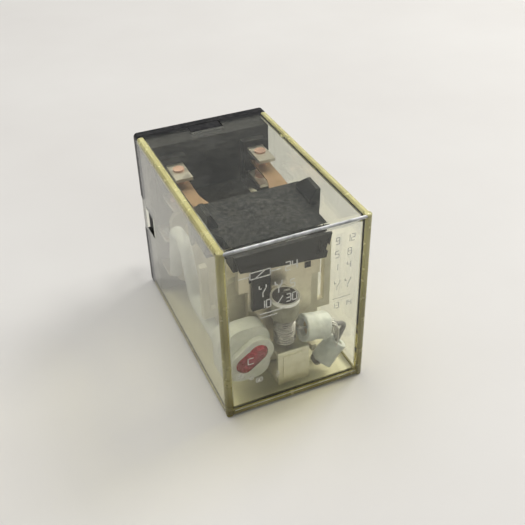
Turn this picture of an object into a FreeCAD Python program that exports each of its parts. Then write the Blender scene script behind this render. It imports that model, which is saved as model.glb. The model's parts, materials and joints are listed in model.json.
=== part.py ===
import FreeCAD, Part
import math
import os

# Plug-in control relay, two changeover poles, 12 V coil, lying the way it sits in a panel socket.
# Frame: origin at the middle of the base's seat face, +Y out through the blades into the socket,
# +Z up, +X to the right as seen on the front (label) face. Millimetres.

V = FreeCAD.Vector
os.makedirs("parts", exist_ok=True)

# Body
BODY_W = 21.5
BODY_H = 28.0
BODY_D = 35.5
HALF_W = BODY_W / 2
HALF_H = BODY_H / 2
EDGE_R = 0.6

# Cover
WALL = 1.1
FRONT_WALL = 1.2
CAVITY_R = 0.3
TONGUE_HALF = 2.9
TONGUE_END = -0.3
WINDOW_HALF = 1.9
WINDOW_Y = (-5.8, -2.0)
NOTCH_HALF = 2.6
NOTCH_Y = -3.6

# Base
FLANGE = 1.3
PLUG_Y = -5.0
FIT = 0.1
NIB_Y = (-5.4, -2.4)
NIB_HALF = 1.6
NIB_REACH = 10.45
BARRIER = (-16.0, 3.4, 4.3)
BARRIER_HALF = 4.4
TOWER_X = (4.7, 8.5)
TOWER_Y = -6.4
TOWER_Z = (4.5, 11.3)

# Blade terminals
BLADE_W = 2.6
BLADE_T = 0.5
BLADE_OUT = 6.4
BLADE_CHAMFER = 0.5
POLE_X = 6.6
ROW_NC = 10.0
ROW_NO = 5.9
ROW_COM = -0.4
ROW_COIL = -7.0
EYE_W = 1.2
EYE_L = 2.2
EYE_Y = 3.7
CONTACT_Y = -8.5
PLATE_END = -11.3
TAB_X = (7.6, 9.0)
TAB_Y = -9.2
TAB_W = 1.6
TAB_ROOT = 0.2
SHORT_END = -5.95

# Fixed contact rivets
BUTTON_R = 0.9
RIVET_R = 0.5
RIVET_HEAD_R = 0.85
RIVET_HEAD_T = 0.3
NC_BUTTON_T = 0.5
NO_BUTTON_T = 0.7

# Magnet
COIL_Z = -4.0
YOKE_T = 1.1
YOKE_HALF = 5.0
YOKE_BOTTOM = -12.0
YOKE_TOP = 0.4
YOKE_BEND = 1.3
EAR_HALF = 5.9
EAR_Y = (-29.3, -25.6)
EAR_GAP = 0.15
CORE_R = 2.3
CORE_RIVET_R = 1.7
POLE_R = 4.0
POLE_T = 0.9
POLE_FACE = -27.65

# Bobbin and winding
FLANGE_HALF_X = 7.3
FLANGE_HALF_Z = 6.75
FLANGE_CORNER = 2.0
BOBBIN_FRONT = -26.7
BOBBIN_REAR = -6.1
CHEEK_T = 1.0
POST_X = (8.3, 9.3)
POST_TOP = 6.0
POST_FOOT = (-2.9, -6.3)
POST_WEB_H = 1.4
BOBBIN_BORE_R = 2.35
BOBBIN_TUBE_R = 2.9
WINDING_R = 6.2
TAPE_R = 6.4

# Armature, drawn against the pole and then swung open about its lower rear edge
PIVOT_Y = -27.8
PIVOT_Z = -11.7
OPEN_DEG = 2.2
ARM_T = 1.1
HEAD_HALF = 6.1
HEAD_TOP = 7.4
FACE_HALF = 4.8
FACE_Z = (-3.9, 2.6)
FACE_CHAMFER = 0.9
NECK_HALF = 3.0
FOOT_HALF = 5.0
FOOT_TOP = -9.3
SHELF_X = -0.25
SHELF_Y = -31.0
SHELF_R = 2.05
SHELF_NECK_HALF = 1.0
SHELF_Z = (1.6, 2.15)
SHELF_HOLE_R = 0.45
CAP_OUT = 1.98
CAP_IN = 1.78
CAP_BOTTOM = -1.2
SHIM_HALF = 2.6
SHIM_T = 0.1
SHIM_BELOW = 1.0
SHIM_ABOVE = 3.6

# Contact carrier (against the pole)
CARRIER_HALF = 8.0
CARRIER_NOSE = 7.0
NOSE_Y = (-26.8, -25.0)
PAD_INNER = 4.0
PAD_NOSE = 6.8
PAD_REAR = -20.3
CARRIER_TOP = 9.95
CARRIER_FRONT = -30.2
CARRIER_REAR = -18.3
SKIRT_Z = 6.6
SKIRT_SLANT = 0.6
SKIRT_HALF = (7.0, 6.3)
BACK_HALF = 5.4
BACK_T = 1.5
BACK_BOTTOM = 3.6
PEG_X = (3.7, 4.6)
PEG_Z = (4.1, 5.0)
PEG_FIT = 0.02
TONGUE_X = (-4.3, -1.6)
TONGUE_T = 0.45
TONGUE_BOTTOM = -0.7
FIN_X = (6.8, 8.3)
FIN_Y = (-24.5, -19.9)
FIN_TOP = 12.25
SLOT_Z = (7.0, 9.2)
SLOT_W = 0.75
SLOT_X = (4.6, 5.9)

# Moving springs and their double-faced contacts (against the pole)
LEAF_Z = (7.55, 7.85)
LEAF_ROOT = -25.5
LEAF_STEP = (-17.0, -13.0)
LEAF_TIP = -6.8
MOVING_Y = -8.1
LEAF_HALF_WIDE = 1.7
LEAF_HALF_TIP = 1.2
LEAF_SHIFT = 0.6
UPPER_BUTTON_T = 0.6
LOWER_BUTTON_T = 0.67
DOME = 0.1

# Return spring and its anchor
SPRING_Y = -31.4
SPRING_R = 1.45
SPRING_WIRE_R = 0.15
SPRING_Z = (-5.9, 0.8)
SPRING_TURNS = 17
HOOK_LOW = 1.0
HOOK_HIGH = 0.55
HOOK_END = 0.8
ANCHOR_X = (-2.2, 2.6)
ANCHOR_T = 0.5
ANCHOR_Y = (-33.4, -24.0)
ANCHOR_TOP = -6.6
ANCHOR_LIP_REAR = -30.2
ANCHOR_PAD = 0.15
ANCHOR_PAD_X = (-1.4, 1.5)
ANCHOR_PAD_Z = (-11.2, -7.2)
ANCHOR_RIVET_R = 0.6
ANCHOR_RIVET_X = 0.95
ANCHOR_RIVET_Y = -25.2
ANCHOR_HEAD_R = 0.9
ANCHOR_HEAD_T = 0.25

# Indicator and its wiring
LAMP_R = 1.5
LAMP_Y = -32.35
LAMP_A = (-6.95, -6.95)
LAMP_B = (-4.9, -5.45)
HOLDER_X = (-9.4, -2.9)
HOLDER_Y = (-32.2, -29.8)
HOLDER_Z = (-10.6, -1.3)
HOLDER_R = 2.4
BOOT_R = 2.35
BOOT_FRONT = -33.0
SLEEVE_X = 8.45
SLEEVE_OUT = 0.95
SLEEVE_IN = 0.45
STRAND_R = 0.35
WIRE_R = 0.2
RESISTOR_Y = -32.0
RESISTOR_A = (3.02, -4.4)
RESISTOR_B = (5.0, -4.85)
RESISTOR_R = 1.15
TUBE_LAP = 0.9
TUBE_OUT = 2.0
TUBE_IN = 1.3
LOWER_TUBE_OUT = 1.65
LOWER_TUBE_IN = 0.9
BRAID_R = 0.45
COIL_WIRE_R = 0.15


def block(x0, x1, y0, y1, z0, z1):
    low = V(min(x0, x1), min(y0, y1), min(z0, z1))
    return Part.makeBox(abs(x1 - x0), abs(y1 - y0), abs(z1 - z0), low)


def rod(start, end, radius):
    axis = end - start
    return Part.makeCylinder(radius, axis.Length, start, axis)


def edges_along(shape, axis):
    found = []
    for edge in shape.Edges:
        if not isinstance(edge.Curve, Part.Line):
            continue
        run = edge.tangentAt(edge.FirstParameter)
        if abs(abs(run.dot(axis)) - 1) < 1e-6:
            found.append(edge)
    return found


def rounded(shape, radius, axis):
    return shape.makeFillet(radius, edges_along(shape, axis))


def plate_xz(points, y0, y1):
    """A flat plate outlined in X and Z, running from y0 to y1."""
    corners = [V(x, y0, z) for x, z in points]
    face = Part.Face(Part.makePolygon(corners + corners[:1]))
    return face.extrude(V(0, y1 - y0, 0))


def plate_xy(points, z0, z1):
    """A flat plate outlined in X and Y, running from z0 to z1."""
    corners = [V(x, y, z0) for x, y in points]
    face = Part.Face(Part.makePolygon(corners + corners[:1]))
    return face.extrude(V(0, 0, z1 - z0))


def route(points, bend):
    """A wire path of straight runs joined by tangent arcs."""
    points = [V(*p) for p in points]
    edges = []
    start = points[0]
    for i in range(1, len(points) - 1):
        corner = points[i]
        back = points[i - 1] - corner
        ahead = points[i + 1] - corner
        back.normalize()
        ahead.normalize()
        half = back.getAngle(ahead) / 2
        reach = bend / math.tan(half)
        middle = back + ahead
        middle.normalize()
        first = corner + back * reach
        last = corner + ahead * reach
        centre = corner + middle * (bend / math.sin(half))
        mid = centre - middle * bend
        edges.append(Part.makeLine(start, first))
        edges.append(Part.Arc(first, mid, last).toShape())
        start = last
    edges.append(Part.makeLine(start, points[-1]))
    return Part.Wire(edges)


def swept(path, radius):
    start = path.Edges[0].valueAt(path.Edges[0].FirstParameter)
    ahead = path.Edges[0].tangentAt(path.Edges[0].FirstParameter)
    ring = Part.Wire(Part.makeCircle(radius, start, ahead))
    return path.makePipeShell([ring], True, True)


def opened(shape):
    """Swings a shape drawn against the pole back to the released position."""
    turned = shape.copy()
    turned.rotate(V(0, PIVOT_Y, PIVOT_Z), V(1, 0, 0), OPEN_DEG)
    return turned


def keep(name, *shapes):
    whole = shapes[0] if len(shapes) == 1 else Part.makeCompound(list(shapes))
    for solid in whole.Solids:
        if not solid.isValid():
            raise ValueError("not valid: " + name)
    print(name, len(whole.Solids), round(whole.Volume, 3))
    whole.exportStep("parts/" + name + ".step")


def make_cover():
    shell = block(-HALF_W, HALF_W, -BODY_D, -FLANGE, -HALF_H, HALF_H)
    edges = edges_along(shell, V(0, 1, 0))
    for edge in shell.Edges:
        if edge.BoundBox.YMax < -BODY_D + 0.01:
            edges.append(edge)
    shell = shell.makeFillet(EDGE_R, edges)
    inner_x = HALF_W - WALL
    inner_z = HALF_H - WALL
    inner_y = -BODY_D + FRONT_WALL
    cavity = block(-inner_x, inner_x, inner_y, 0, -inner_z, inner_z)
    edges = edges_along(cavity, V(0, 1, 0))
    for edge in cavity.Edges:
        if edge.BoundBox.YMax < inner_y + 0.01:
            edges.append(edge)
    shell = shell.cut(cavity.makeFillet(CAVITY_R, edges))
    for side in (-1, 1):
        tongue = block(side * inner_x, side * HALF_W, -FLANGE, TONGUE_END, -TONGUE_HALF, TONGUE_HALF)
        shell = shell.fuse(tongue)
        window = block(
            side * (inner_x - 1), side * (HALF_W + 1), WINDOW_Y[0], WINDOW_Y[1], -WINDOW_HALF, WINDOW_HALF
        )
        shell = shell.cut(window)
        notch = block(
            -NOTCH_HALF, NOTCH_HALF, NOTCH_Y, 0, side * (inner_z - 1), side * (HALF_H + 1)
        )
        shell = shell.cut(notch)
    return shell.removeSplitter()


def blade_slots():
    gaps = []
    for side in (-1, 1):
        for row in (ROW_NC, ROW_NO, ROW_COM, ROW_COIL):
            gaps.append(
                block(
                    side * POLE_X - BLADE_W / 2, side * POLE_X + BLADE_W / 2,
                    TOWER_Y - 1, 1, row - BLADE_T / 2, row + BLADE_T / 2,
                )
            )
        for row in (ROW_COM, ROW_COIL):
            gaps.append(
                block(
                    side * TAB_X[0], side * TAB_X[1], TOWER_Y - 1, SHORT_END + TAB_W,
                    row - BLADE_T / 2, row + BLADE_T / 2,
                )
            )
    return gaps


def make_base():
    flange = rounded(block(-HALF_W, HALF_W, -FLANGE, 0, -HALF_H, HALF_H), EDGE_R, V(0, 1, 0))
    inner_x = HALF_W - WALL
    inner_z = HALF_H - WALL
    for side in (-1, 1):
        gap = block(
            side * (inner_x - 0.02), side * (HALF_W + 1), -FLANGE - 1, 1,
            -TONGUE_HALF - FIT, TONGUE_HALF + FIT,
        )
        flange = flange.cut(gap)
    plug = block(-inner_x + FIT, inner_x - FIT, PLUG_Y, -FLANGE, -inner_z + FIT, inner_z - FIT)
    body = flange.fuse(rounded(plug, CAVITY_R, V(0, 1, 0)))
    for side in (-1, 1):
        lug = block(
            -NOTCH_HALF + FIT, NOTCH_HALF - FIT, NOTCH_Y + FIT, -FLANGE,
            side * (inner_z - FIT), side * (HALF_H - 0.05),
        )
        body = body.fuse(lug)
        slope = [
            (side * (inner_x - FIT), NIB_Y[0]), (side * NIB_REACH, NIB_Y[1]),
            (side * (inner_x - FIT), NIB_Y[1]),
        ]
        body = body.fuse(plate_xy(slope, -NIB_HALF, NIB_HALF))
        tower = block(side * TOWER_X[0], side * TOWER_X[1], TOWER_Y, PLUG_Y, TOWER_Z[0], TOWER_Z[1])
        body = body.fuse(tower)
    body = body.fuse(block(-BARRIER_HALF, BARRIER_HALF, BARRIER[0], PLUG_Y, BARRIER[1], BARRIER[2]))
    for gap in blade_slots():
        body = body.cut(gap)
    return body.removeSplitter()


def blade(side, row, inner_end):
    x0 = side * POLE_X - BLADE_W / 2
    x1 = side * POLE_X + BLADE_W / 2
    outline = [
        (x0, inner_end), (x1, inner_end), (x1, BLADE_OUT - BLADE_CHAMFER),
        (x1 - BLADE_CHAMFER, BLADE_OUT), (x0 + BLADE_CHAMFER, BLADE_OUT), (x0, BLADE_OUT - BLADE_CHAMFER),
    ]
    z0 = row - BLADE_T / 2
    plate = plate_xy(outline, z0, z0 + BLADE_T)
    half = (EYE_L - EYE_W) / 2
    eye = block(
        side * POLE_X - EYE_W / 2, side * POLE_X + EYE_W / 2, EYE_Y - half, EYE_Y + half, z0 - 1, z0 + 2
    )
    for end in (-half, half):
        eye = eye.fuse(Part.makeCylinder(EYE_W / 2, 3, V(side * POLE_X, EYE_Y + end, z0 - 1)))
    return plate.cut(eye)


def contact_plate(side, row):
    hole = Part.makeCylinder(RIVET_R, 3, V(side * POLE_X, CONTACT_Y, row - 1.5))
    return blade(side, row, PLATE_END).cut(hole)


def tab_terminal(side, row):
    z0 = row - BLADE_T / 2
    z1 = row + BLADE_T / 2
    tab = block(side * (TAB_X[0] - TAB_ROOT), side * TAB_X[1], SHORT_END, SHORT_END + TAB_W, z0, z1)
    arm = block(side * TAB_X[0], side * TAB_X[1], TAB_Y, SHORT_END + TAB_W, z0, z1)
    return blade(side, row, SHORT_END).fuse(tab).fuse(arm).removeSplitter()


def fixed_contact(side, row, button_t, up):
    """A contact rivet: silver button on one face of its plate, copper head on the other."""
    x = side * POLE_X
    face = row + up * BLADE_T / 2
    back = row - up * BLADE_T / 2
    button = rod(V(x, CONTACT_Y, face), V(x, CONTACT_Y, face + up * button_t), BUTTON_R)
    shank = rod(V(x, CONTACT_Y, back), V(x, CONTACT_Y, face), RIVET_R)
    head = rod(V(x, CONTACT_Y, back - up * RIVET_HEAD_T), V(x, CONTACT_Y, back), RIVET_HEAD_R)
    return button.fuse(shank).fuse(head).removeSplitter()


def make_yoke():
    rear = PLUG_Y
    front = PIVOT_Y
    top = YOKE_BOTTOM + YOKE_T
    inner = rear - YOKE_T
    bend = YOKE_BEND
    k = bend * (1 - math.sqrt(0.5))
    side = -YOKE_HALF
    edges = [
        Part.makeLine(V(side, front, YOKE_BOTTOM), V(side, rear - bend, YOKE_BOTTOM)),
        Part.Arc(
            V(side, rear - bend, YOKE_BOTTOM), V(side, rear - k, YOKE_BOTTOM + k),
            V(side, rear, YOKE_BOTTOM + bend),
        ).toShape(),
        Part.makeLine(V(side, rear, YOKE_BOTTOM + bend), V(side, rear, YOKE_TOP)),
        Part.makeLine(V(side, rear, YOKE_TOP), V(side, inner, YOKE_TOP)),
        Part.makeLine(V(side, inner, YOKE_TOP), V(side, inner, top)),
        Part.makeLine(V(side, inner, top), V(side, front, top)),
        Part.makeLine(V(side, front, top), V(side, front, YOKE_BOTTOM)),
    ]
    bar = Part.Face(Part.Wire(edges)).extrude(V(2 * YOKE_HALF, 0, 0))
    for way in (-1, 1):
        gap = FOOT_HALF + EAR_GAP
        bar = bar.fuse(block(way * YOKE_HALF, way * EAR_HALF, front, EAR_Y[1], YOKE_BOTTOM, top))
        bar = bar.fuse(block(way * gap, way * EAR_HALF, EAR_Y[0], front, YOKE_BOTTOM, top))
        rivet = V(way * ANCHOR_RIVET_X, ANCHOR_RIVET_Y, YOKE_BOTTOM - 1)
        bar = bar.cut(Part.makeCylinder(ANCHOR_RIVET_R, 3, rivet))
    bar = bar.cut(rod(V(0, inner - 1, COIL_Z), V(0, rear + 1, COIL_Z), CORE_RIVET_R))
    return bar.removeSplitter()


def make_core():
    neck = PLUG_Y - YOKE_T
    pole = rod(V(0, POLE_FACE, COIL_Z), V(0, POLE_FACE + POLE_T, COIL_Z), POLE_R)
    stem = rod(V(0, POLE_FACE + POLE_T, COIL_Z), V(0, neck, COIL_Z), CORE_R)
    rivet = rod(V(0, neck, COIL_Z), V(0, PLUG_Y, COIL_Z), CORE_RIVET_R)
    return pole.fuse(stem).fuse(rivet).removeSplitter()


def cheek(y0, y1):
    flat = block(
        -FLANGE_HALF_X, FLANGE_HALF_X, y0, y1, COIL_Z - FLANGE_HALF_Z, COIL_Z + FLANGE_HALF_Z
    )
    return rounded(flat, FLANGE_CORNER, V(0, 1, 0))


def make_bobbin():
    tube = rod(V(0, BOBBIN_FRONT, COIL_Z), V(0, BOBBIN_REAR, COIL_Z), BOBBIN_TUBE_R)
    body = tube.fuse(cheek(BOBBIN_FRONT, BOBBIN_FRONT + CHEEK_T))
    body = body.fuse(cheek(BOBBIN_REAR - CHEEK_T, BOBBIN_REAR))
    front = BOBBIN_FRONT
    back = BOBBIN_FRONT + CHEEK_T
    for side, foot in zip((-1, 1), POST_FOOT):
        web = block(side * (FLANGE_HALF_X - 0.3), side * POST_X[1], front, back, foot, foot + POST_WEB_H)
        post = block(side * POST_X[0], side * POST_X[1], front, back, foot, POST_TOP)
        body = body.fuse(web).fuse(post)
    bore = rod(V(0, BOBBIN_FRONT - 1, COIL_Z), V(0, BOBBIN_REAR + 1, COIL_Z), BOBBIN_BORE_R)
    return body.cut(bore).removeSplitter()


def sleeve_between(y0, y1, outer, inner):
    full = rod(V(0, y0, COIL_Z), V(0, y1, COIL_Z), outer)
    return full.cut(rod(V(0, y0 - 1, COIL_Z), V(0, y1 + 1, COIL_Z), inner))


def make_armature():
    front = PIVOT_Y - ARM_T
    right_side = [
        (FOOT_HALF, PIVOT_Z), (FOOT_HALF, FOOT_TOP), (NECK_HALF, FOOT_TOP + 1), (NECK_HALF, FACE_Z[0]),
        (FACE_HALF - FACE_CHAMFER, FACE_Z[0]), (FACE_HALF, FACE_Z[0] + FACE_CHAMFER), (FACE_HALF, FACE_Z[1]),
        (HEAD_HALF, FACE_Z[1]), (HEAD_HALF, HEAD_TOP),
    ]
    outline = right_side + [(-x, z) for x, z in reversed(right_side)]
    body = plate_xz(outline, front, PIVOT_Y)
    body = body.fuse(Part.makeCylinder(SHELF_R, SHELF_Z[1] - SHELF_Z[0], V(SHELF_X, SHELF_Y, SHELF_Z[0])))
    neck = (SHELF_X - SHELF_NECK_HALF, SHELF_X + SHELF_NECK_HALF)
    body = body.fuse(block(neck[0], neck[1], SHELF_Y, front, SHELF_Z[0], SHELF_Z[1]))
    body = body.cut(Part.makeCylinder(SHELF_HOLE_R, 3, V(SHELF_X, SHELF_Y, SHELF_Z[0] - 1)))
    for side in (-1, 1):
        hole = block(
            side * (PEG_X[0] - PEG_FIT), side * (PEG_X[1] + PEG_FIT), front - 1, PIVOT_Y + 1,
            PEG_Z[0] - PEG_FIT, PEG_Z[1] + PEG_FIT,
        )
        body = body.cut(hole)
    return body.removeSplitter()


def make_spring_cap():
    height = SHELF_Z[0] - CAP_BOTTOM
    wall = Part.makeCylinder(CAP_OUT, height, V(SHELF_X, SHELF_Y, CAP_BOTTOM))
    wall = wall.cut(Part.makeCylinder(CAP_IN, height + 2, V(SHELF_X, SHELF_Y, CAP_BOTTOM - 1)))
    return wall


def leaf_outline(side):
    root_x = side * (POLE_X - LEAF_SHIFT)
    tip_x = side * POLE_X
    return [
        (root_x - LEAF_HALF_WIDE, LEAF_ROOT), (root_x + LEAF_HALF_WIDE, LEAF_ROOT),
        (root_x + LEAF_HALF_WIDE, LEAF_STEP[0]), (tip_x + LEAF_HALF_TIP, LEAF_STEP[1]),
        (tip_x + LEAF_HALF_TIP, LEAF_TIP), (tip_x - LEAF_HALF_TIP, LEAF_TIP),
        (tip_x - LEAF_HALF_TIP, LEAF_STEP[1]), (root_x - LEAF_HALF_WIDE, LEAF_STEP[0]),
    ]


def make_leaf(side):
    hole = Part.makeCylinder(RIVET_R, 3, V(side * POLE_X, MOVING_Y, LEAF_Z[0] - 1))
    return plate_xy(leaf_outline(side), LEAF_Z[0], LEAF_Z[1]).cut(hole)


def domed(x, y, z0, z1, radius):
    button = rod(V(x, y, z0), V(x, y, z1), radius)
    rim = []
    for edge in button.Edges:
        if abs(edge.BoundBox.ZMin - z1) < 1e-6 and edge.BoundBox.ZLength < 1e-6:
            rim.append(edge)
    return button.makeFillet(DOME, rim)


def moving_contact(side):
    x = side * POLE_X
    upper = domed(x, MOVING_Y, LEAF_Z[1], LEAF_Z[1] + UPPER_BUTTON_T, BUTTON_R)
    lower = domed(x, MOVING_Y, LEAF_Z[0], LEAF_Z[0] - LOWER_BUTTON_T, BUTTON_R)
    shank = rod(V(x, MOVING_Y, LEAF_Z[0]), V(x, MOVING_Y, LEAF_Z[1]), RIVET_R)
    return upper.fuse(shank).fuse(lower).removeSplitter()


def carrier_fin(side):
    """The upright fin at one side of the carrier, its rear top corner sloped."""
    outer = side * FIN_X[1]
    profile = [
        (FIN_Y[0], CARRIER_TOP - 1), (FIN_Y[1], CARRIER_TOP - 1), (FIN_Y[1], CARRIER_TOP + 0.9),
        (FIN_Y[1] - 1.4, FIN_TOP), (FIN_Y[0], FIN_TOP),
    ]
    corners = [V(outer, y, z) for y, z in profile]
    face = Part.Face(Part.makePolygon(corners + corners[:1]))
    fin = face.extrude(V(side * (FIN_X[0] - FIN_X[1]), 0, 0))
    slope = [
        (side * FIN_X[0], CARRIER_TOP + 0.6), (side * (FIN_X[1] - 0.6), FIN_TOP),
        (side * (FIN_X[1] - 0.6), FIN_TOP + 1), (side * (FIN_X[0] - 1), FIN_TOP + 1),
        (side * (FIN_X[0] - 1), CARRIER_TOP + 0.6),
    ]
    return fin.cut(plate_xz(slope, FIN_Y[0] - 1, FIN_Y[1] + 1))


def make_carrier():
    arm_front = PIVOT_Y - ARM_T
    plan = [
        (CARRIER_NOSE, CARRIER_FRONT + 0.6), (CARRIER_NOSE, NOSE_Y[0]), (CARRIER_HALF, NOSE_Y[1]),
        (CARRIER_HALF, CARRIER_REAR),
    ]
    body = plate_xy(plan + [(-x, y) for x, y in reversed(plan)], LEAF_Z[1], CARRIER_TOP)
    skirt = [
        (-SKIRT_HALF[0], CARRIER_TOP), (SKIRT_HALF[0], CARRIER_TOP), (SKIRT_HALF[1], SKIRT_Z - SKIRT_SLANT),
        (-SKIRT_HALF[1], SKIRT_Z + SKIRT_SLANT),
    ]
    body = body.fuse(plate_xz(skirt, CARRIER_FRONT, arm_front))
    body = body.fuse(
        block(TONGUE_X[0], TONGUE_X[1], arm_front - TONGUE_T, arm_front, TONGUE_BOTTOM, CARRIER_TOP - 1)
    )
    body = body.fuse(block(-HEAD_HALF, HEAD_HALF, arm_front, PIVOT_Y, HEAD_TOP, CARRIER_TOP))
    body = body.fuse(block(-BACK_HALF, BACK_HALF, PIVOT_Y, PIVOT_Y + BACK_T, BACK_BOTTOM, CARRIER_TOP))
    for side in (-1, 1):
        pad = block(side * PAD_INNER, side * CARRIER_HALF, NOSE_Y[1], PAD_REAR, SKIRT_Z, CARRIER_TOP)
        body = body.fuse(pad)
        body = body.fuse(block(side * PAD_INNER, side * PAD_NOSE, arm_front, NOSE_Y[1], SKIRT_Z, CARRIER_TOP))
        body = body.fuse(carrier_fin(side))
    body = body.cut(
        block(-HEAD_HALF - PEG_FIT, HEAD_HALF + PEG_FIT, arm_front, PIVOT_Y, BACK_BOTTOM, HEAD_TOP)
    )
    for side in (-1, 1):
        peg = block(side * PEG_X[0], side * PEG_X[1], arm_front - 0.1, PIVOT_Y, PEG_Z[0], PEG_Z[1])
        body = body.fuse(peg)
    for side in (-1, 1):
        body = body.cut(plate_xy(leaf_outline(side), LEAF_Z[0], LEAF_Z[1]))
    for x in SLOT_X:
        body = body.cut(
            block(x, x + SLOT_W, CARRIER_FRONT - 1, CARRIER_FRONT + 0.5, SLOT_Z[0], SLOT_Z[1])
        )
    return body.removeSplitter()


def make_return_spring():
    height = SPRING_Z[1] - SPRING_Z[0]
    helix = Part.makeHelix(height / SPRING_TURNS, height, SPRING_R)
    ring = Part.Wire(Part.makeCircle(SPRING_WIRE_R, V(SPRING_R, 0, 0), V(0, 1, 0)))
    coil = Part.Wire(helix.Edges).makePipeShell([ring], True, True)
    coil.translate(V(SHELF_X, SPRING_Y, SPRING_Z[0]))
    parts = []
    for z, far in ((SPRING_Z[0], ANCHOR_TOP - HOOK_LOW), (SPRING_Z[1], SHELF_Z[1] + HOOK_HIGH)):
        knee = V(SHELF_X + SPRING_R, SPRING_Y, z)
        centre = V(SHELF_X, SPRING_Y, z)
        tip = V(SHELF_X, SPRING_Y, far)
        parts.append(rod(centre, knee, SPRING_WIRE_R))
        parts.append(rod(centre, tip, SPRING_WIRE_R))
        parts.append(Part.makeSphere(SPRING_WIRE_R, knee))
        parts.append(Part.makeSphere(SPRING_WIRE_R, centre))
        parts.append(Part.makeSphere(SPRING_WIRE_R, tip))
        parts.append(rod(tip, tip + V(HOOK_END, 0, 0), SPRING_WIRE_R))
    for piece in parts:
        coil = coil.fuse(piece)
    return coil


def make_anchor():
    bottom = YOKE_BOTTOM - ANCHOR_T
    left, right = ANCHOR_X
    leg = block(left, right, ANCHOR_Y[0], ANCHOR_Y[1], bottom, YOKE_BOTTOM)
    post = block(left, right, ANCHOR_Y[0], ANCHOR_Y[0] + ANCHOR_T, bottom, ANCHOR_TOP)
    lip = block(left, right, ANCHOR_Y[0], ANCHOR_LIP_REAR, ANCHOR_TOP - ANCHOR_T, ANCHOR_TOP)
    pad = block(
        ANCHOR_PAD_X[0], ANCHOR_PAD_X[1], ANCHOR_Y[0] - ANCHOR_PAD, ANCHOR_Y[0],
        ANCHOR_PAD_Z[0], ANCHOR_PAD_Z[1],
    )
    body = rounded(leg.fuse(post).fuse(lip).removeSplitter(), 0.2, V(1, 0, 0)).fuse(pad)
    body = body.cut(Part.makeCylinder(SHELF_HOLE_R, 2, V(SHELF_X, SPRING_Y, ANCHOR_TOP - 1)))
    for way in (-1, 1):
        hole = V(way * ANCHOR_RIVET_X, ANCHOR_RIVET_Y, bottom - 1)
        body = body.cut(Part.makeCylinder(ANCHOR_RIVET_R, 3, hole))
    return body


def anchor_rivet(way):
    bottom = YOKE_BOTTOM - ANCHOR_T
    top = YOKE_BOTTOM + YOKE_T
    x = way * ANCHOR_RIVET_X
    shank = rod(V(x, ANCHOR_RIVET_Y, bottom), V(x, ANCHOR_RIVET_Y, top), ANCHOR_RIVET_R)
    head = rod(V(x, ANCHOR_RIVET_Y, bottom - ANCHOR_HEAD_T), V(x, ANCHOR_RIVET_Y, bottom), ANCHOR_HEAD_R)
    return shank.fuse(head)


def lamp_solid(radius):
    start = V(LAMP_A[0], LAMP_Y, LAMP_A[1])
    end = V(LAMP_B[0], LAMP_Y, LAMP_B[1])
    return rod(start, end, radius).fuse(Part.makeSphere(radius, start)).fuse(Part.makeSphere(radius, end))


def make_holder():
    body = block(HOLDER_X[0], HOLDER_X[1], HOLDER_Y[0], HOLDER_Y[1], HOLDER_Z[0], HOLDER_Z[1])
    body = rounded(body, HOLDER_R, V(0, 1, 0))
    boot = lamp_solid(BOOT_R).common(block(HOLDER_X[0], HALF_W, BOOT_FRONT, HOLDER_Y[1], -HALF_H, HALF_H))
    body = body.fuse(boot).cut(lamp_solid(LAMP_R))
    rear = V(-SLEEVE_X, HOLDER_Y[1] - 1.2, -4.2)
    body = body.cut(rod(rear, rear + V(0, 3, 0), STRAND_R))
    side = V(-4.6, -30.6, -8.4)
    return body.cut(rod(side, side + V(3, 0, 0), WIRE_R))


SLEEVE_RUN = [
    (-SLEEVE_X, -29.75, -4.2), (-SLEEVE_X, -20.5, -4.2), (-SLEEVE_X, -17.6, 4.3),
    (-SLEEVE_X, -13.6, 4.3), (-SLEEVE_X, -11.2, -5.2),
]
LAMP_LEAD_RUN = [(-SLEEVE_X, -30.6, -4.2)] + SLEEVE_RUN[1:-1]
LAMP_LEAD_RUN += [(-SLEEVE_X, -10.9, -6.39), (-SLEEVE_X, -8.75, -6.39)]
LINK_RUN = [
    (-4.5, -30.6, -8.4), (0.6, -30.6, -8.4), (1.75, -29.75, -8.4), (1.75, -29.75, -4.1),
    (1.75, RESISTOR_Y, -4.1), (RESISTOR_A[0] - 0.02, RESISTOR_Y, RESISTOR_A[1]),
]
LOWER_TUBE_A = (7.9, RESISTOR_Y, -8.6)
LOWER_TUBE_B = (5.3, RESISTOR_Y, -11.55)
STRAND_RUN = [
    (RESISTOR_B[0] + 0.1, RESISTOR_Y, RESISTOR_B[1]), (9.1, RESISTOR_Y, -5.8), (7.9, RESISTOR_Y, -8.6),
    (4.7, RESISTOR_Y, -12.23), (4.7, -30.35, -12.23), (8.4, -28.5, -11.4), (8.4, -8.4, -11.4),
    (8.4, -8.4, ROW_COIL - BLADE_T / 2),
]
COIL_LEAD_RUN = [(6.5, -8.2, -5.4), (8.3, -8.2, -5.4), (8.3, -8.2, ROW_COIL + BLADE_T / 2)]
BRAID_RUN = [
    (6.7, -15.6, 7.99), (6.7, -15.6, 2.6), (6.7, -12.6, 0.31), (6.7, -10.6, 0.31),
    (8.3, -9.0, 0.31), (8.3, -7.4, 0.31),
]


def tube_along(points, bend, outer, inner):
    return swept(route(points, bend), outer).cut(swept(route(points, bend), inner))


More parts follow.
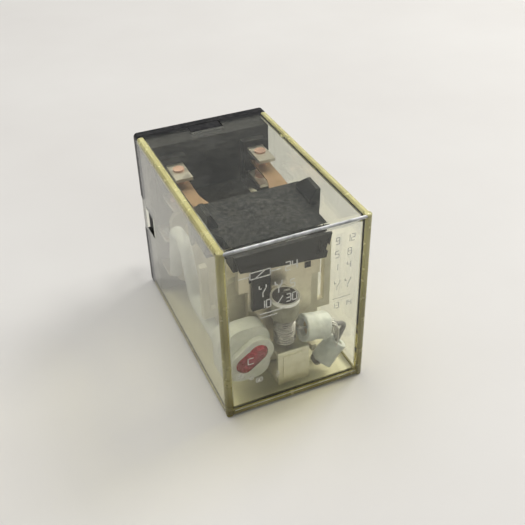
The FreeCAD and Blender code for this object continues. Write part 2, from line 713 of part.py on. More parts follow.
keep("cover", make_cover())
keep("base", make_base())
for name, side in (("left", -1), ("right", 1)):
    keep("terminal_nc_" + name, contact_plate(side, ROW_NC))
    keep("terminal_no_" + name, contact_plate(side, ROW_NO))
    keep("terminal_com_" + name, tab_terminal(side, ROW_COM))
    keep("terminal_coil_" + name, tab_terminal(side, ROW_COIL))
    keep("moving_spring_" + name, opened(make_leaf(side)))
keep("nc_contact_rivets", *[fixed_contact(side, ROW_NC, NC_BUTTON_T, -1) for side in (-1, 1)])
keep("no_contact_rivets", *[fixed_contact(side, ROW_NO, NO_BUTTON_T, 1) for side in (-1, 1)])
keep("moving_contacts", *[opened(moving_contact(side)) for side in (-1, 1)])

keep("yoke", make_yoke())
keep("core", make_core())
keep("bobbin", make_bobbin())
keep(
    "coil_winding",
    sleeve_between(BOBBIN_FRONT + CHEEK_T, BOBBIN_REAR - CHEEK_T, WINDING_R, BOBBIN_TUBE_R),
)
keep(
    "coil_tape",
    sleeve_between(BOBBIN_FRONT + CHEEK_T, BOBBIN_REAR - CHEEK_T, TAPE_R, WINDING_R),
)
for name, side in (("left", -1), ("right", 1)):
    run = [(side * x, y, z) for x, y, z in COIL_LEAD_RUN]
    keep("coil_lead_" + name, swept(route(run, 0.4), COIL_WIRE_R))

keep("armature", opened(make_armature()))
shim = block(-SHIM_HALF, SHIM_HALF, PIVOT_Y, PIVOT_Y + SHIM_T, COIL_Z - SHIM_BELOW, COIL_Z + SHIM_ABOVE)
keep("residual_shim", opened(shim))
keep("spring_cap", opened(make_spring_cap()))
keep("contact_carrier", opened(make_carrier()))
keep("return_spring", make_return_spring())
keep("spring_anchor", make_anchor())
keep("anchor_rivets", *[anchor_rivet(way) for way in (-1, 1)])

for name, side in (("left", -1), ("right", 1)):
    run = [(side * x, y, z) for x, y, z in BRAID_RUN]
    keep("braid_" + name, swept(route(run, 0.8), BRAID_R))

keep("indicator_lamp", lamp_solid(LAMP_R))
keep("lamp_holder", make_holder())
keep("lamp_sleeve", tube_along(SLEEVE_RUN, 2.2, SLEEVE_OUT, SLEEVE_IN))
keep("lamp_lead", swept(route(LAMP_LEAD_RUN, 2.2), STRAND_R))
keep("link_wire", swept(route(LINK_RUN, 0.4), WIRE_R))
keep("stranded_lead", swept(route(STRAND_RUN, 0.6), STRAND_R))
body_start = V(RESISTOR_A[0], RESISTOR_Y, RESISTOR_A[1])
body_end = V(RESISTOR_B[0], RESISTOR_Y, RESISTOR_B[1])
lap = (body_end - body_start) * (TUBE_LAP / (body_end - body_start).Length)
keep("resistor", rod(body_start, body_end, RESISTOR_R))
keep(
    "resistor_sleeve",
    rod(body_start - lap, body_end + lap, TUBE_OUT).cut(rod(body_start - lap, body_end + lap, TUBE_IN)),
)
top_end = V(*LOWER_TUBE_A)
low_end = V(*LOWER_TUBE_B)
keep("lower_sleeve", rod(top_end, low_end, LOWER_TUBE_OUT).cut(rod(top_end, low_end, LOWER_TUBE_IN)))
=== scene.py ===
import json
import math
import random

import bmesh
import bpy
from mathutils import Matrix, Vector


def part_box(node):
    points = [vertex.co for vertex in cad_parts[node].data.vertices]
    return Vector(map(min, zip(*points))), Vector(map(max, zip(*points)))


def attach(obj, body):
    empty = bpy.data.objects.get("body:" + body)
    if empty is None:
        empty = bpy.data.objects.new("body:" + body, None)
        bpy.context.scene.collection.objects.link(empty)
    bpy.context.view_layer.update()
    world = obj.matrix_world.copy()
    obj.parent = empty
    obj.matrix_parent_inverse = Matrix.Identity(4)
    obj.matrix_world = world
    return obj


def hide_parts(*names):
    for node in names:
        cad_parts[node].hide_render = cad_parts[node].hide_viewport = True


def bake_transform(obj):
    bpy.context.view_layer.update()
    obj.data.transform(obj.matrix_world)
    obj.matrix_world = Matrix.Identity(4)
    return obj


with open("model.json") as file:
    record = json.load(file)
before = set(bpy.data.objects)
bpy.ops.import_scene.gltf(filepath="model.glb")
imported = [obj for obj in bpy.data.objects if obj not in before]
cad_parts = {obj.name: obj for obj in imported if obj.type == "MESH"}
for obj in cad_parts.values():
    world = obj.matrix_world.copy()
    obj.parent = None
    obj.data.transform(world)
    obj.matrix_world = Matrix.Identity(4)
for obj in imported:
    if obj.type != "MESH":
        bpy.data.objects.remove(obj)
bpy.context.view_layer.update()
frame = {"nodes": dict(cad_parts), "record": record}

NODES = frame["nodes"]
HOUSING = "housing"
MM = 0.001

# The armature's spring shelf, in millimetres: its radius, and how far its painted shade and painted rim
# highlight reach above the cap.
SHELF_R = 2.05
SHELF_T = 0.75


def mm(*values):
    return Vector(values) * MM


# ---------------------------------------------------------------- materials

class Look:
    """A node material with one Principled shader and textures laid out in millimetres."""

    def __init__(self, name, **values):
        self.material = bpy.data.materials.new(name)
        self.material.use_nodes = True
        self.tree = self.material.node_tree
        self.tree.nodes.clear()
        self.out = self.add("ShaderNodeOutputMaterial")
        self.shader = self.add("ShaderNodeBsdfPrincipled")
        self.link(self.shader.outputs[0], self.out.inputs["Surface"])
        for key, value in values.items():
            self.shader.inputs[key.replace("_", " ")].default_value = value
        place = self.add("ShaderNodeTexCoord")
        self.mm = self.math_vector("SCALE", place.outputs["Object"], 1 / MM)

    def add(self, kind, **settings):
        node = self.tree.nodes.new(kind)
        for key, value in settings.items():
            setattr(node, key, value)
        return node

    def link(self, source, target):
        self.tree.links.new(source, target)

    def math_vector(self, operation, source, value):
        node = self.add("ShaderNodeVectorMath", operation=operation)
        self.link(source, node.inputs[0])
        if operation == "SCALE":
            node.inputs["Scale"].default_value = value
        else:
            node.inputs[1].default_value = value
        return node.outputs[0]

    def stretched(self, scale):
        return self.math_vector("MULTIPLY", self.mm, scale)

    def noise(self, scale, detail=4.0, vector=None, roughness=0.55):
        node = self.add("ShaderNodeTexNoise")
        node.inputs["Scale"].default_value = scale
        node.inputs["Detail"].default_value = detail
        node.inputs["Roughness"].default_value = roughness
        self.link(vector or self.mm, node.inputs["Vector"])
        return node.outputs["Fac"]

    def ramp(self, source, low, high, first, last):
        node = self.add("ShaderNodeMapRange")
        for key, value in (("From Min", low), ("From Max", high), ("To Min", first), ("To Max", last)):
            node.inputs[key].default_value = value
        self.link(source, node.inputs["Value"])
        return node.outputs[0]

    def blend(self, factor, first, last):
        node = self.add("ShaderNodeMix", data_type="RGBA")
        self.link(factor, node.inputs["Factor"])
        for socket, colour in ((node.inputs[6], first), (node.inputs[7], last)):
            if isinstance(colour, tuple):
                socket.default_value = (*colour, 1)
            else:
                self.link(colour, socket)
        return node.outputs[2]

    def bump(self, source, strength, distance=0.02):
        node = self.add("ShaderNodeBump")
        node.inputs["Strength"].default_value = strength
        node.inputs["Distance"].default_value = distance * MM
        self.link(source, node.inputs["Height"])
        self.link(node.outputs[0], self.shader.inputs["Normal"])

    def combine(self, operation, first, second):
        node = self.add("ShaderNodeMath", operation=operation)
        self.link(first, node.inputs[0])
        self.link(second, node.inputs[1])
        return node.outputs[0]

    def axis(self, source, letter):
        split = self.add("ShaderNodeSeparateXYZ")
        self.link(source, split.inputs[0])
        return split.outputs[letter]

    def facing(self, letter):
        """How far a surface faces along one axis, from -1 to 1."""
        return self.axis(self.add("ShaderNodeNewGeometry").outputs["Normal"], letter)

    def set(self, socket, source):
        self.link(source, self.shader.inputs[socket])

    def mottled(self, scale, detail, first, last, low=0.3):
        """A colour that drifts between two."""
        return self.blend(self.ramp(self.noise(scale, detail), low, 0.7, 0, 1), first, last)

    def worn(self, scale, detail, smooth, rough):
        """Roughness that varies between two values."""
        self.set("Roughness", self.ramp(self.noise(scale, detail), 0.3, 0.7, smooth, rough))


def clear_plastic():
    look = Look("clear_cover", IOR=1.49)
    look.shader.inputs["Base Color"].default_value = (0.97, 0.975, 0.97, 1)
    film = look.noise(0.16, 5)
    grime = look.ramp(look.noise(1.1, 10, roughness=0.8), 0.46, 0.68, 0.1, 1.0)
    rubs = look.ramp(look.noise(1.4, 5, look.stretched((0.25, 2.6, 0.25))), 0.50, 0.78, 0.0, 1.0)
    dirt = look.combine("MAXIMUM", grime, rubs)
    haze = look.combine("MULTIPLY", look.ramp(film, 0.30, 0.72, 0.25, 1.0), dirt)
    specks = look.ramp(look.noise(3.2, 2), 0.68, 0.74, 0.0, 0.9)
    haze = look.combine("MAXIMUM", haze, specks)
    haze = look.combine("MULTIPLY", haze, look.ramp(look.facing("Y"), -0.9, -0.4, 0.3, 1.0))
    look.set("Transmission Weight", look.ramp(haze, 0.05, 1.0, 1.0, 0.93))
    look.set("Roughness", look.ramp(haze, 0.1, 0.9, 0.012, 0.09))
    look.bump(look.noise(0.5, 2), 0.06, 0.05)
    through = look.add("ShaderNodeBsdfTransparent")
    through.inputs[0].default_value = (0.93, 0.915, 0.84, 1)
    ray = look.add("ShaderNodeLightPath")
    mix = look.add("ShaderNodeMixShader")
    look.link(ray.outputs["Is Shadow Ray"], mix.inputs[0])
    look.link(look.shader.outputs[0], mix.inputs[1])
    look.link(through.outputs[0], mix.inputs[2])
    look.link(mix.outputs[0], look.out.inputs["Surface"])
    tint = look.add("ShaderNodeVolumeAbsorption")
    tint.inputs["Color"].default_value = (0.90, 0.875, 0.10, 1)
    tint.inputs["Density"].default_value = 60
    look.link(tint.outputs[0], look.out.inputs["Volume"])
    return look.material


def painted_edge_glow():
    look = Look("cover_edge", Roughness=0.25, IOR=1.5)
    look.shader.inputs["Transmission Weight"].default_value = 0.35
    # Painted light: olive colour standing for light gathered in the cover's moulded edges, brighter towards
    # the top and darker towards the bottom, with pale painted flecks.
    broad = look.ramp(look.noise(0.08, 1), 0.36, 0.64, 0, 1)
    fine = look.ramp(look.noise(0.25, 1), 0.35, 0.65, 0, 0.2)
    low_tone = look.blend(broad, (0.30, 0.25, 0.05), (0.52, 0.46, 0.14))
    high_tone = look.blend(broad, (0.56, 0.51, 0.20), (0.82, 0.78, 0.42))
    tone = look.blend(look.ramp(look.axis(look.mm, "Z"), -13, 9, 0, 1), low_tone, high_tone)
    look.set("Base Color", look.blend(fine, tone, (0.88, 0.85, 0.58)))
    look.worn(0.6, 2, 0.18, 0.3)
    look.bump(look.noise(0.4, 2), 0.08, 0.05)
    return look.material


def painted_edge_highlight():
    look = Look("cover_painted_highlight", Roughness=0.3)
    # Painted highlight: bright colour, broken by noise, standing for light caught on the cover's outer
    # corners.
    broken = look.ramp(look.noise(0.5, 3), 0.35, 0.62, 0, 1)
    look.set("Base Color", look.blend(broken, (0.50, 0.51, 0.55), (0.88, 0.89, 0.93)))
    look.worn(2.0, 3, 0.2, 0.45)
    look.bump(look.noise(1.5, 3), 0.2, 0.03)
    return look.material


def moulded(name, dark, pale, roughness=0.5, dust=0.25, dust_colour=(0.30, 0.29, 0.27), shine=0.5):
    look = Look(name, Roughness=roughness)
    look.shader.inputs["Specular IOR Level"].default_value = shine
    tone = look.mottled(0.7, 5, dark, pale)
    lying = look.ramp(look.facing("Z"), 0.3, 1.0, 0, 1)
    spots = look.ramp(look.noise(1.9, 6), 0.42, 0.72, 0, dust)
    look.set("Base Color", look.blend(look.combine("MULTIPLY", lying, spots), tone, dust_colour))
    look.worn(3.0, 4, roughness - 0.08, roughness + 0.12)
    look.bump(look.noise(9.0, 3), 0.25, 0.02)
    return look.material


def metal(name, base, stained, roughness=0.32, grain=(0.6, 0.6, 9.0)):
    look = Look(name, Metallic=1.0)
    patches = look.ramp(look.noise(0.9, 5), 0.45, 0.75, 0, 0.6)
    look.set("Base Color", look.blend(patches, base, stained))
    lines = look.noise(1.6, 4, look.stretched(grain))
    look.set("Roughness", look.ramp(lines, 0.3, 0.7, roughness - 0.08, roughness + 0.14))
    look.bump(lines, 0.2, 0.01)
    return look.material


def milky(name, pale, shade, through=0.25):
    look = Look(name, Roughness=0.42, IOR=1.43)
    look.shader.inputs["Subsurface Weight"].default_value = 0.35
    look.shader.inputs["Subsurface Radius"].default_value = (0.9 * MM, 0.9 * MM, 0.8 * MM)
    look.shader.inputs["Subsurface Scale"].default_value = 1.0
    look.shader.inputs["Transmission Weight"].default_value = through
    look.set("Base Color", look.mottled(0.6, 4, pale, shade, low=0.35))
    look.worn(1.4, 3, 0.34, 0.55)
    look.bump(look.noise(0.9, 4), 0.5, 0.12)
    return look.material


def wound():
    look = Look("enamelled_copper", Metallic=0.75, Roughness=0.3)
    rings = look.add("ShaderNodeTexWave", wave_type="BANDS", bands_direction="Y")
    rings.inputs["Scale"].default_value = 2.4
    rings.inputs["Distortion"].default_value = 0.15
    look.link(look.mm, rings.inputs["Vector"])
    look.set("Base Color", look.mottled(0.8, 4, (0.42, 0.14, 0.05), (0.60, 0.25, 0.10)))
    look.set("Roughness", look.ramp(rings.outputs["Fac"], 0, 1, 0.42, 0.24))
    look.bump(rings.outputs["Fac"], 0.8, 0.06)
    return look.material


def red_lens():
    look = Look("red_lamp", Roughness=0.2, IOR=1.5)
    look.shader.inputs["Transmission Weight"].default_value = 0.25
    look.set("Base Color", look.mottled(0.55, 3, (0.26, 0.001, 0.014), (0.52, 0.006, 0.04), low=0.35))
    look.worn(2.2, 3, 0.16, 0.34)
    look.bump(look.noise(1.2, 2), 0.15, 0.05)
    return look.material


def tape():
    look = Look("coil_tape", Roughness=0.28)
    look.shader.inputs["Coat Weight"].default_value = 0.3
    seams = look.add("ShaderNodeTexWave", wave_type="BANDS", bands_direction="Y")
    seams.inputs["Scale"].default_value = 0.07
    seams.inputs["Distortion"].default_value = 0.4
    look.link(look.mm, seams.inputs["Vector"])
    look.set("Base Color", look.mottled(0.4, 4, (0.62, 0.56, 0.40), (0.74, 0.69, 0.54)))
    look.worn(1.8, 4, 0.22, 0.4)
    look.bump(seams.outputs["Fac"], 0.35, 0.06)
    return look.material


def strands(name, pale, dark):
    look = Look(name, Metallic=0.9, Roughness=0.35)
    twist = look.add("ShaderNodeTexWave", wave_type="BANDS", bands_direction="DIAGONAL")
    twist.inputs["Scale"].default_value = 2.2
    twist.inputs["Distortion"].default_value = 1.2
    look.link(look.mm, twist.inputs["Vector"])
    look.set("Base Color", look.blend(twist.outputs["Fac"], dark, pale))
    look.worn(3.0, 3, 0.28, 0.5)
    look.bump(twist.outputs["Fac"], 0.9, 0.08)
    return look.material


def armature_steel_and_shelf_shade():
    """Plated iron, with painted shade on top of the round spring shelf and a painted highlight along its
    rim.
    """
    look = Look("armature_steel_and_shelf_shade", Metallic=1.0)
    patches = look.ramp(look.noise(0.9, 5), 0.45, 0.75, 0, 0.6)
    plain = look.blend(patches, (0.66, 0.61, 0.50), (0.48, 0.43, 0.33))
    low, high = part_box("spring_cap")
    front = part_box("armature")[0][1] / MM
    centre = ((low[0] + high[0]) / 2 / MM, front + SHELF_R)
    centred = look.math_vector("ADD", look.mm, (-centre[0], -centre[1], 0))
    flat = look.math_vector("MULTIPLY", centred, (1, 1, 0))
    length = look.add("ShaderNodeVectorMath", operation="LENGTH")
    look.link(flat, length.inputs[0])
    radius = length.outputs["Value"]
    # Painted light on the spring shelf: near-black painted shade on its top, near-white painted highlight
    # along its rim.
    rim = look.ramp(radius, SHELF_R - 0.32, SHELF_R - 0.26, 0, 1)
    shelf = look.blend(rim, (0.09, 0.09, 0.10), (0.92, 0.92, 0.94))
    painted_shelf_mask = look.ramp(radius, SHELF_R + 0.02, SHELF_R + 0.06, 1, 0)
    level = look.axis(look.mm, "Z")
    above = look.ramp(level, high[2] / MM - 0.25, high[2] / MM - 0.2, 0, 1)
    below = look.ramp(level, high[2] / MM + SHELF_T, high[2] / MM + SHELF_T + 0.05, 1, 0)
    painted_shelf_mask = look.combine("MULTIPLY", painted_shelf_mask, look.combine("MULTIPLY", above, below))
    look.set("Base Color", look.blend(painted_shelf_mask, plain, shelf))
    lines = look.noise(1.6, 4, look.stretched((0.6, 0.6, 9.0)))
    look.set("Roughness", look.ramp(lines, 0.3, 0.7, 0.28, 0.46))
    look.bump(lines, 0.2, 0.01)
    return look.material


def resistor_body():
    look = Look("resistor_body", Roughness=0.45)
    bands = look.add("ShaderNodeTexWave", wave_type="BANDS", bands_direction="X")
    bands.inputs["Scale"].default_value = 0.42
    look.link(look.mm, bands.inputs["Vector"])
    stripes = look.ramp(bands.outputs["Fac"], 0.82, 0.9, 0, 1)
    look.set("Base Color", look.blend(stripes, (0.60, 0.47, 0.30), (0.25, 0.05, 0.03)))
    look.worn(2.5, 3, 0.35, 0.55)
    look.bump(look.noise(4.0, 3), 0.2, 0.03)
    return look.material


def ink():
    look = Look("white_print", Roughness=0.5)
    look.set("Base Color", look.mottled(2.0, 4, (0.80, 0.80, 0.76), (0.52, 0.52, 0.49), low=0.4))
    look.worn(5.0, 3, 0.4, 0.65)
    look.bump(look.noise(8.0, 2), 0.2, 0.01)
    return look.material


SLOTS = {
    "clear_cover": clear_plastic(),
    "black_base": moulded(
        "black_base", (0.006, 0.006, 0.007), (0.014, 0.014, 0.016), 0.40, 0.12, shine=0.25
    ),
    "black_carrier": moulded(
        "black_carrier", (0.004, 0.005, 0.008), (0.010, 0.012, 0.018), 0.42, 0.16, shine=0.22
    ),
    "tinned_brass": metal("tinned_brass", (0.66, 0.63, 0.57), (0.48, 0.42, 0.33), 0.40),
    "contact_silver": metal("contact_silver", (0.62, 0.42, 0.35), (0.50, 0.34, 0.28), 0.58),
    "spring_copper": metal("spring_copper", (0.38, 0.26, 0.17), (0.28, 0.20, 0.12), 0.55, (9.0, 0.5, 9.0)),
    "soft_iron": metal("soft_iron", (0.56, 0.53, 0.44), (0.40, 0.36, 0.28), 0.42),
    "rivet_steel": metal("rivet_steel", (0.66, 0.65, 0.62), (0.5, 0.48, 0.44), 0.3),
    "anchor_plate": metal("anchor_plate", (0.82, 0.80, 0.69), (0.66, 0.63, 0.49), 0.40),
    "spring_steel": metal("spring_steel", (0.52, 0.50, 0.48), (0.28, 0.27, 0.25), 0.28),
    "shim_copper": metal("shim_copper", (0.60, 0.38, 0.25), (0.45, 0.30, 0.18), 0.42),
    "lead_strands": strands("lead_strands", (0.46, 0.46, 0.47), (0.16, 0.16, 0.17)),
    "enamelled_copper": wound(),
    "tinned_wire": metal("tinned_wire", (0.70, 0.69, 0.67), (0.5, 0.49, 0.46), 0.28),
    "white_sleeve": milky("white_sleeve", (0.88, 0.92, 0.95), (0.72, 0.77, 0.80), 0.30),
    "milky_holder": milky("milky_holder", (0.92, 0.94, 0.93), (0.76, 0.79, 0.77), 0.16),
    "cap_resin": milky("cap_resin", (0.56, 0.55, 0.47), (0.34, 0.33, 0.27), 0.35),
    "bobbin_resin": moulded(
        "bobbin_resin", (0.66, 0.62, 0.50), (0.76, 0.73, 0.62), 0.45, 0.1, (0.5, 0.48, 0.42)
    ),
    "coil_tape": tape(),
    "red_lamp": red_lens(),
    "resistor_body": resistor_body(),
}
EDGE = painted_edge_glow()
EDGE_HIGHLIGHT_PAINT = painted_edge_highlight()
INK = ink()
LOOSE_WIRE = metal("loose_wire", (0.80, 0.79, 0.78), (0.56, 0.55, 0.54), 0.36)
ARMATURE_STEEL_AND_SHELF_SHADE = armature_steel_and_shelf_shade()

for entry in frame["record"]["subparts"]:
    node = NODES[entry["node"]]
    node.data.materials.clear()
    node.data.materials.append(SLOTS[entry["material_slot"]])
NODES["armature"].data.materials[0] = ARMATURE_STEEL_AND_SHELF_SHADE


# ---------------------------------------------------------------- pieces

def add_mesh(name, mesh, material, body):
    obj = bpy.data.objects.new(name, mesh)
    bpy.context.scene.collection.objects.link(obj)
    obj.data.materials.clear()
    obj.data.materials.append(material)
    if body:
        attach(obj, body)
    return obj


def flexible(node_name, name, slot):
    """A copy of a CAD lead or spring, shown in place of the CAD part, which is hidden."""
    piece = add_mesh(name, NODES[node_name].data.copy(), SLOTS[slot], None)
    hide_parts(node_name)
    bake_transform(piece)


flexible(
    "return_spring", "return_spring_coil", "spring_steel",
)
for side in ("left", "right"):
    flexible(
        "braid_" + side, "flexible_braid_" + side, "lead_strands",
    )


# ---------------------------------------------------------------- cover edges with painted glow and painted highlights, and print

COVER_LOW, COVER_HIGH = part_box("cover")
WALL = 1.1 * MM
STRIP_REAR = 1.5 * MM
FOOT_LINE = 0.9 * MM
STRIP = 0.94 * MM
CORNER_GAP = 0.03 * MM


def bars(name, spans, material, body):
    """Square bars with trimmed corners, each given by its two opposite corners."""
    verts = []
    faces = []
    for low, high in spans:
        axis = max(range(3), key=lambda i: high[i] - low[i])
        first, second = [i for i in range(3) if i != axis]
        trim = 0.25 * min(high[first] - low[first], high[second] - low[second])
        ring = [
            (low[first] + trim, low[second]), (high[first] - trim, low[second]),
            (high[first], low[second] + trim), (high[first], high[second] - trim),
            (high[first] - trim, high[second]), (low[first] + trim, high[second]),
            (low[first], high[second] - trim), (low[first], low[second] + trim),
        ]
        start = len(verts)
        for end in (low[axis], high[axis]):
            for a, b in ring:
                point = [0.0, 0.0, 0.0]
                point[axis] = end
                point[first] = a
                point[second] = b
                verts.append(tuple(point))
        count = len(ring)
        for i in range(count):
            j = (i + 1) % count
            faces.append((start + i, start + j, start + count + j, start + count + i))
        faces.append(tuple(start + i for i in reversed(range(count))))
        faces.append(tuple(start + count + i for i in range(count)))
    mesh = bpy.data.meshes.new(name)
    mesh.from_pydata(verts, [], faces)
    mesh.validate()
    fix_normals(mesh)
    add_mesh(name, mesh, material, body)


def fix_normals(mesh):
    work = bmesh.new()
    work.from_mesh(mesh)
    bmesh.ops.recalc_face_normals(work, faces=work.faces)
    work.to_mesh(mesh)
    work.free()


def both_walls(axis):
    """Where a strip lies inside the two walls that face along one axis."""
    inset = (WALL - STRIP) / 2
    low = COVER_LOW[axis] + inset
    high = COVER_HIGH[axis] - inset
    return (low, low + STRIP), (high - STRIP, high)


def edge_spans():
    """One strip of painted glow inside each moulded edge of the cover, standing for light gathered in the
    edges: four along the depth, three round the front.
    """
    sides = both_walls(0)
    heights = both_walls(2)
    front = both_walls(1)[0]
    rear = COVER_HIGH[1] - STRIP_REAR
    spans = []
    for x in sides:
        for z in heights:
            spans.append(((x[0], front[1] + CORNER_GAP, z[0]), (x[1], rear, z[1])))
        spans.append(((x[0], front[0], heights[0][0]), (x[1], front[1], heights[1][1])))
    across = (sides[0][1] + CORNER_GAP, sides[1][0] - CORNER_GAP)
    spans.append(((across[0], front[0], heights[0][0]), (across[1], front[1], heights[0][1])))
    return spans


def bright_spans():
    """Thin painted highlights along the outer corners of the cover, where they catch the light."""
    line = 0.20 * MM
    skin = 0.13 * MM
    left = COVER_LOW[0] + skin
    right = COVER_HIGH[0] - skin
    front = COVER_LOW[1] + skin
    top = COVER_HIGH[2] - skin
    bottom = COVER_LOW[2] + FOOT_LINE
    spans = [((left + line * 3, front, top - line * 2), (right - line * 3, front + line * 1.6, top))]
    spans.append(((left + WALL, front, bottom), (right - WALL, front + line * 0.5, bottom + line * 0.7)))
    spans.append(((left + line, front, bottom), (left + line * 2, front + line * 0.5, top - line * 4)))
    return spans


# Painted glow inside the cover's moulded edges.
bars("cover_edge_painted_glow", edge_spans(), EDGE, HOUSING)
# Painted highlights on the cover's outer corners.
bars("cover_painted_highlight", bright_spans(), EDGE_HIGHLIGHT_PAINT, HOUSING)

PRINT_Y = COVER_LOW[1] - 0.012 * MM
PRINT_T = 0.02 * MM


def stroke(a, b, width):
    """One straight printed stroke on the front face, given in millimetres across and up."""
    start = Vector((a[0], a[1])) * MM
    end = Vector((b[0], b[1])) * MM
    along = (end - start).normalized()
    out = Vector((-along.y, along.x)) * width * MM / 2
    corners = [start - out, end - out, end + out, start + out]
    front = [(c.x, PRINT_Y, c.y) for c in corners]
    rear = [(c.x, PRINT_Y + PRINT_T, c.y) for c in corners]
    return front + rear


BOX_FACES = [(0, 1, 2, 3), (4, 7, 6, 5), (0, 4, 5, 1), (1, 5, 6, 2), (2, 6, 7, 3), (3, 7, 4, 0)]


def printed(name, strokes, width):
    verts = []
    faces = []
    for a, b in strokes:
        start = len(verts)
        verts += stroke(a, b, width)
        faces += [tuple(start + i for i in face) for face in BOX_FACES]
    mesh = bpy.data.meshes.new(name)
    mesh.from_pydata(verts, [], faces)
    fix_normals(mesh)
    add_mesh(name, mesh, INK, HOUSING)


def path(*points):
    return list(zip(points[:-1], points[1:]))


def rectangle(x0, z0, x1, z1):
    return path((x0, z0), (x1, z0), (x1, z1), (x0, z1), (x0, z0))


DIGIT_BARS = {
    "0": "abcdef", "1": "bc", "2": "abged", "3": "abgcd", "4": "fgbc", "5": "afgcd", "6": "afgedc",
    "7": "abc", "8": "abcdefg", "9": "abcdfg",
}
BAR_ENDS = {
    "a": ((0, 2), (1, 2)), "b": ((1, 2), (1, 1)), "c": ((1, 1), (1, 0)), "d": ((0, 0), (1, 0)),
    "e": ((0, 1), (0, 0)), "f": ((0, 2), (0, 1)), "g": ((0, 1), (1, 1)),
}


def number(text, x, z, height):
    """Terminal numbers drawn with straight bars."""
    strokes = []
    step = height * 0.72
    for place, digit in enumerate(text):
        for bar in DIGIT_BARS[digit]:
            ends = []
            for across, up in BAR_ENDS[bar]:
                ends.append((x + place * step + across * height * 0.5, z + up * height / 2))
            strokes.append(tuple(ends))
    return strokes


def changeover(x, z, size):
    """The circuit symbol of one changeover contact."""
    strokes = path((x, z - size), (x, z - size * 0.3), (x + size * 0.45, z + size * 0.45))
    left = x - size * 0.5
    right = x + size * 0.5
    knee = z + size * 0.45
    strokes += path((left, z + size), (left, knee), (x - size * 0.15, knee))
    strokes += path((right, z + size), (right, knee))
    return strokes


main_print = rectangle(-6.6, 9.0, -3.8, 10.0)
main_print += path((-8.2, 9.5), (-6.6, 9.5)) + path((-3.8, 9.5), (-2.3, 9.5))
main_print += path((-5.9, 9.0), (-4.5, 10.0)) + number("24", -1.7, 8.9, 1.3)
main_print += changeover(-4.9, 6.7, 0.95) + changeover(-2.7, 6.7, 0.95) + number("5", -1.0, 6.1, 1.2)
main_print += number("10", -5.3, 3.9, 1.2) + path((-2.9, 3.9), (-2.1, 5.1)) + number("30", -1.6, 3.9, 1.2)
main_print += path((-5.4, 3.0), (-1.6, 3.0)) + path((-5.4, 2.4), (-3.0, 2.4))
side_print = number("9", 5.4, 10.8, 1.0) + number("12", 6.9, 10.8, 1.0) + number("5", 5.4, 8.7, 1.0)
side_print += number("8", 7.2, 8.7, 1.0) + number("1", 5.3, 6.6, 1.0) + number("4", 7.2, 6.6, 1.0)
side_print += changeover(5.8, 4.1, 0.8) + changeover(7.4, 4.1, 0.8) + path((5.2, 1.9), (7.9, 1.9))
side_print += number("13", 5.1, 0.2, 0.9) + number("14", 7.0, 0.2, 0.9)
low_print = number("9", -7.4, -2.9, 0.9) + path((-6.5, -5.1), (-7.3, -5.1), (-7.3, -4.1), (-6.5, -4.1))
low_print += number("85", -8.9, -7.2, 0.8) + number("10", -7.5, -8.0, 0.7) + number("60", -6.2, -8.8, 0.7)
low_print += number("3", -3.2, -8.8, 0.8)
printed("front_print_main", main_print, 0.16)
printed("front_print_side", side_print, 0.12)
printed("front_print_low", low_print, 0.13)


# ---------------------------------------------------------------- sleeves and loose strands at the resistor

TUBE_SIDES = 7


def tube(points, radius):
    """A round wire through the points, with closed ends."""
    sides = TUBE_SIDES
    verts = []
    faces = []
    for i, point in enumerate(points):
        ahead = (points[min(i + 1, len(points) - 1)] - points[max(i - 1, 0)]).normalized()
        side_way = ahead.cross(Vector((0.12, 1, 0.07))).normalized()
        other = ahead.cross(side_way)
        for k in range(sides):
            angle = 2 * math.pi * k / sides
            verts.append(tuple(point + (side_way * math.cos(angle) + other * math.sin(angle)) * radius))
    for i in range(len(points) - 1):
        for k in range(sides):
            n = (k + 1) % sides
            faces.append((i * sides + k, i * sides + n, (i + 1) * sides + n, (i + 1) * sides + k))
    faces.append(tuple(reversed(range(sides))))
    last = (len(points) - 1) * sides
    faces.append(tuple(last + k for k in range(sides)))
    return verts, faces


def join_tubes(name, runs, radius, material, body):
    verts = []
    faces = []
    for run in runs:
        more, shapes = tube(run, radius)
        start = len(verts)
        verts += more
        faces += [tuple(start + i for i in face) for face in shapes]
    mesh = bpy.data.meshes.new(name)
    mesh.from_pydata(verts, [], faces)
    fix_normals(mesh)
    mesh.shade_smooth()
    add_mesh(name, mesh, material, body)


def bowed(knots, steps):
    """Points on a smooth curve through the knots."""
    knots = [knots[0]] + list(knots) + [knots[-1]]
    points = []
    for i in range(1, len(knots) - 2):
        before, a, b, after = knots[i - 1:i + 3]
        for step in range(steps):
            t = step / steps
            points.append(0.5 * (
                2 * a + (b - before) * t + (2 * before - 5 * a + 4 * b - after) * t * t
                + (3 * a - before - 3 * b + after) * t ** 3
            ))
    return points + [knots[-2]]


def fanned_strands():
    """The tinned strands spread out where they leave the sleeve, then gather towards the lower one."""
    draw = random.Random(7)
    sleeve_low, sleeve_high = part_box("resistor_sleeve")
    lower_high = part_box("lower_sleeve")[1]
    depth = (sleeve_low[1] + sleeve_high[1]) / 2
    mouth = Vector((sleeve_high[0] - 0.9 * MM, depth, sleeve_low[2] + 1.9 * MM))
    gather = Vector((lower_high[0] - 1.3 * MM, mouth.y, lower_high[2] - 1.4 * MM))
    runs = []
    for i in range(13):
        spread = (i - 6) / 6
        out = mm(1.55 + 0.5 * draw.random(), -1.1 * spread + 0.3 * draw.random(), 0.45 - 0.5 * draw.random())
        elbow = mm(2.35 - 0.5 * abs(spread), -1.3 * spread, -1.4 - 0.9 * draw.random())
        knots = [mouth + mm(0, 0.5 * spread, 0.3 * draw.random()), mouth + out, mouth + elbow, gather]
        if i % 3 == 0:
            knots[-1] = mouth + elbow + mm(-0.2 - 0.4 * draw.random(), -0.3 * spread, -1.0)
        runs.append(bowed(knots, 5))
    return runs


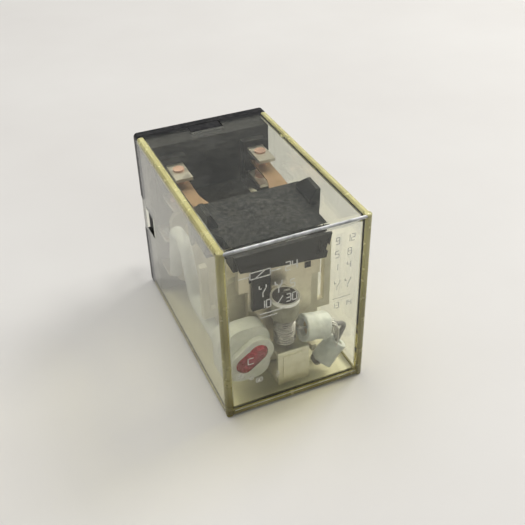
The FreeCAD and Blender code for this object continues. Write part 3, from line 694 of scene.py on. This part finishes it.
SHRUNK = bpy.data.textures.new("shrunk_folds", "CLOUDS")
SHRUNK.noise_scale = 1.7 * MM
SHRUNK.noise_depth = 2
for sleeve_name in ("resistor_sleeve", "lower_sleeve"):
    sleeve = NODES[sleeve_name]
    remesh = sleeve.modifiers.new("even_faces", "REMESH")
    remesh.mode = "VOXEL"
    remesh.voxel_size = 0.11 * MM
    remesh.use_smooth_shade = True
    folds = sleeve.modifiers.new("folds", "DISPLACE")
    folds.texture = SHRUNK
    folds.texture_coords = "LOCAL"
    folds.strength = 0.45 * MM
    folds.mid_level = 0.5
    even = sleeve.modifiers.new("rounding", "SMOOTH")
    even.factor = 0.5
    even.iterations = 4

join_tubes("frayed_strands", fanned_strands(), 0.085 * MM, LOOSE_WIRE, HOUSING)


# ---------------------------------------------------------------- camera

AIM = Vector((0, COVER_LOW[1] / 2, 0))
AZIMUTH = math.radians(-22.891)
ELEVATION = math.radians(36.030)
ROLL = math.radians(-1.442)
DISTANCE = 117.12 * MM
OFFSET = (2.481 * MM, -1.626 * MM)
LENS = 53.36

right = Vector((math.cos(AZIMUTH), math.sin(AZIMUTH), 0))
back = Vector((
    math.sin(AZIMUTH) * math.cos(ELEVATION), -math.cos(AZIMUTH) * math.cos(ELEVATION), math.sin(ELEVATION)
))
up = back.cross(right)
across = right * math.cos(ROLL) + up * math.sin(ROLL)
upward = up * math.cos(ROLL) - right * math.sin(ROLL)
camera_data = bpy.data.cameras.new("camera")
camera_data.lens = LENS
camera_data.sensor_width = 36
camera_data.clip_start = 0.005
camera = bpy.data.objects.new("camera", camera_data)
spot = AIM + across * OFFSET[0] + upward * OFFSET[1] + back * DISTANCE
turn = Matrix((across, upward, back)).transposed().to_4x4()
camera.matrix_world = Matrix.Translation(spot) @ turn
bpy.context.scene.collection.objects.link(camera)
bpy.context.scene.camera = camera


# ---------------------------------------------------------------- floor and light

def plane(name, half, z, material):
    mesh = bpy.data.meshes.new(name)
    mesh.from_pydata(
        [(-half, -half, z), (half, -half, z), (half, half, z), (-half, half, z)], [], [(0, 1, 2, 3)]
    )
    obj = bpy.data.objects.new(name, mesh)
    mesh.materials.append(material)
    bpy.context.scene.collection.objects.link(obj)


def floor_material():
    look = Look("pale_floor", Roughness=0.55)
    look.set("Base Color", look.mottled(0.02, 4, (0.74, 0.72, 0.69), (0.78, 0.765, 0.735)))
    look.bump(look.noise(0.5, 3), 0.05, 0.05)
    return look.material


plane("floor", 0.9, COVER_LOW[2] - 0.02 * MM, floor_material())


def area(name, place, aim, size, power, colour=(1, 1, 1)):
    data = bpy.data.lights.new(name, "AREA")
    data.shape = "RECTANGLE"
    data.size, data.size_y = size
    data.energy = power
    data.color = colour
    lamp = bpy.data.objects.new(name, data)
    lamp.location = place
    lamp.rotation_euler = (Vector(aim) - Vector(place)).to_track_quat("-Z", "Y").to_euler()
    bpy.context.scene.collection.objects.link(lamp)


area("window", (0.34, 0.10, 0.34), (0, -0.01, 0), (0.19, 0.19), 1.26, (1.0, 0.985, 0.96))
area("ceiling", (-0.14, 0.16, 0.60), (0, 0, 0), (0.6, 0.5), 2.25, (1.0, 0.99, 0.97))
area("room_fill", (0.12, -0.50, 0.30), (0, -0.02, 0), (0.5, 0.4), 0.22, (1.0, 0.99, 0.98))
world = bpy.data.worlds.new("room")
bpy.context.scene.world = world
world.use_nodes = True
world.node_tree.nodes["Background"].inputs[0].default_value = (0.93, 0.94, 0.95, 1)
world.node_tree.nodes["Background"].inputs[1].default_value = 0.26

bpy.context.scene.view_settings.view_transform = "Standard"
cycles = bpy.context.scene.cycles
cycles.max_bounces = 24
cycles.transmission_bounces = 20
cycles.transparent_max_bounces = 24
